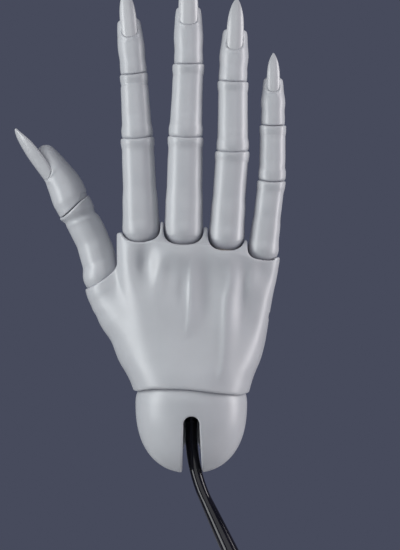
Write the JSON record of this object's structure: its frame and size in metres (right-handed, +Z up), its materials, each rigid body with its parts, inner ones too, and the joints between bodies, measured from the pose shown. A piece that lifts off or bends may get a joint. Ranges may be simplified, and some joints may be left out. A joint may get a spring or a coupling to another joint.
{
  "type": "jointed hand",
  "caption": "Life-size right hand with long nails and ball joints at wrist, knuckles, fingers and thumb, strung on elastic and carried on a bent rod.",
  "frame": {"origin": "on the axis of the stand rod's cylindrical shank, halfway along its wall", "axes": "+Z up, from the wrist towards the fingertips; -Y the back of the hand; +Y the palm side; -X the thumb side"},
  "size_m": [0.132, 0.068, 0.3265],
  "materials": {
    "resin": "satin",
    "nail": "polished",
    "rod": "polished",
    "steel": "brushed",
    "elastic": "woven cover",
    "liner": "suede"
  },
  "bodies": {
    "rod": {"stand_rod": "rod"},
    "ball": {"wrist_ball": "resin", "pivot_pin": "steel", "pivot_plug": "resin"},
    "palm": {"palm_shell": "resin", "palm_anchor_bar": "steel", "cord_washers": "steel", "wrist_elastic": "elastic", "index_cord": "elastic", "middle_cord": "elastic", "ring_cord": "elastic", "little_cord": "elastic", "thumb_cord": "elastic"},
    "index_knuckle": {"index_liner": "liner"},
    "index_first": {"index_proximal": "resin"},
    "index_second": {"index_medial": "resin"},
    "index_last": {"index_distal": "resin", "index_nail": "nail", "index_anchor_pin": "steel"},
    "middle_knuckle": {"middle_liner": "liner"},
    "middle_first": {"middle_proximal": "resin"},
    "middle_second": {"middle_medial": "resin"},
    "middle_last": {"middle_distal": "resin", "middle_nail": "nail", "middle_anchor_pin": "steel"},
    "ring_knuckle": {"ring_liner": "liner"},
    "ring_first": {"ring_proximal": "resin"},
    "ring_second": {"ring_medial": "resin"},
    "ring_last": {"ring_distal": "resin", "ring_nail": "nail", "ring_anchor_pin": "steel"},
    "little_knuckle": {"little_liner": "liner"},
    "little_first": {"little_proximal": "resin"},
    "little_second": {"little_medial": "resin"},
    "little_last": {"little_distal": "resin", "little_nail": "nail", "little_anchor_pin": "steel"},
    "thumb_knuckle": {"thumb_liner": "liner"},
    "thumb_first": {"thumb_proximal": "resin"},
    "thumb_last": {"thumb_distal": "resin", "thumb_nail": "nail", "thumb_anchor_pin": "steel"}
  },
  "joints": [
    {"name": "wrist_bend", "type": "hinge", "parent": "rod", "child": "ball", "pos_m": [-0.03921, 0.03747, 0.10982], "axis": [1, 0, 0], "range_deg": [-20, 45]},
    {"name": "wrist_side", "type": "hinge", "parent": "ball", "child": "palm", "pos_m": [-0.03921, 0.03747, 0.10982], "axis": [0, 1, 0], "range_deg": [-10, 10], "deforming": ["wrist_elastic"]},
    {"name": "index_spread", "type": "hinge", "parent": "palm", "child": "index_knuckle", "pos_m": [-0.06271, 0.03827, 0.19132], "axis": [0, -1, 0], "range_deg": [-2, 10], "deforming": ["index_cord"]},
    {"name": "index_knuckle_bend", "type": "hinge", "parent": "index_knuckle", "child": "index_first", "pos_m": [-0.06271, 0.03827, 0.19132], "axis": [-0.999, 0, -0.0436], "range_deg": [-15, 70], "deforming": ["index_cord"]},
    {"name": "index_middle_bend", "type": "hinge", "parent": "index_first", "child": "index_second", "pos_m": [-0.06469, 0.03985, 0.23665], "axis": [-0.998, 0, -0.0628], "range_deg": [0, 80], "deforming": ["index_cord"]},
    {"name": "index_end_bend", "type": "hinge", "parent": "index_second", "child": "index_last", "pos_m": [-0.0666, 0.04305, 0.26702], "axis": [-0.9945, 0, -0.1045], "range_deg": [0, 45], "deforming": ["index_cord"]},
    {"name": "middle_spread", "type": "hinge", "parent": "palm", "child": "middle_knuckle", "pos_m": [-0.04281, 0.03707, 0.19042], "axis": [0, -1, 0], "range_deg": [-2.5, 2.5], "deforming": ["middle_cord"]},
    {"name": "middle_knuckle_bend", "type": "hinge", "parent": "middle_knuckle", "child": "middle_first", "pos_m": [-0.04281, 0.03707, 0.19042], "axis": [-0.9998, 0, 0.0209], "range_deg": [-15, 70], "deforming": ["middle_cord"]},
    {"name": "middle_middle_bend", "type": "hinge", "parent": "middle_first", "child": "middle_second", "pos_m": [-0.04183, 0.0387, 0.23698], "axis": [-0.9992, 0, 0.0401], "range_deg": [0, 80], "deforming": ["middle_cord"]},
    {"name": "middle_end_bend", "type": "hinge", "parent": "middle_second", "child": "middle_last", "pos_m": [-0.04045, 0.04232, 0.27146], "axis": [-1, 0, -0.007], "range_deg": [0, 45], "deforming": ["middle_cord"]},
    {"name": "ring_spread", "type": "hinge", "parent": "palm", "child": "ring_knuckle", "pos_m": [-0.02271, 0.03747, 0.18812], "axis": [0, 1, 0], "range_deg": [-1.5, 4], "deforming": ["ring_cord"]},
    {"name": "ring_knuckle_bend", "type": "hinge", "parent": "ring_knuckle", "child": "ring_first", "pos_m": [-0.02271, 0.03747, 0.18812], "axis": [-0.9974, 0, 0.0715], "range_deg": [-15, 70], "deforming": ["ring_cord"]},
    {"name": "ring_middle_bend", "type": "hinge", "parent": "ring_first", "child": "ring_second", "pos_m": [-0.01969, 0.03894, 0.23019], "axis": [-1, 0, 0.0052], "range_deg": [0, 80], "deforming": ["ring_cord"]},
    {"name": "ring_end_bend", "type": "hinge", "parent": "ring_second", "child": "ring_last", "pos_m": [-0.01952, 0.04242, 0.2633], "axis": [-0.9988, 0, 0.0489], "range_deg": [0, 45], "deforming": ["ring_cord"]},
    {"name": "little_spread", "type": "hinge", "parent": "palm", "child": "little_knuckle", "pos_m": [-0.00541, 0.03827, 0.18192], "axis": [0, 1, 0], "range_deg": [-2, 12], "deforming": ["little_cord"]},
    {"name": "little_knuckle_bend", "type": "hinge", "parent": "little_knuckle", "child": "little_first", "pos_m": [-0.00541, 0.03827, 0.18192], "axis": [-0.9925, 0, 0.1219], "range_deg": [-15, 70], "deforming": ["little_cord"]},
    {"name": "little_middle_bend", "type": "hinge", "parent": "little_first", "child": "little_second", "pos_m": [-0.00117, 0.03948, 0.21644], "axis": [-0.9998, 0, 0.0209], "range_deg": [0, 80], "deforming": ["little_cord"]},
    {"name": "little_end_bend", "type": "hinge", "parent": "little_second", "child": "little_last", "pos_m": [-0.00062, 0.04224, 0.24269], "axis": [-0.9999, 0, 0.0105], "range_deg": [0, 45], "deforming": ["little_cord"]},
    {"name": "thumb_swing", "type": "hinge", "parent": "palm", "child": "thumb_knuckle", "pos_m": [-0.08191, 0.04647, 0.16932], "axis": [0.759, 0.5736, 0.3082], "range_deg": [-12, 8], "deforming": ["thumb_cord"]},
    {"name": "thumb_base", "type": "hinge", "parent": "thumb_knuckle", "child": "thumb_first", "pos_m": [-0.08191, 0.04647, 0.16932], "axis": [-0.5314, 0.8192, -0.2158], "range_deg": [-8, 18], "deforming": ["thumb_cord"]},
    {"name": "thumb_tip", "type": "hinge", "parent": "thumb_first", "child": "thumb_last", "pos_m": [-0.09649, 0.04647, 0.20522], "axis": [-0.5064, 0.8192, -0.2693], "range_deg": [0, 15], "deforming": ["thumb_cord"]}
  ]
}
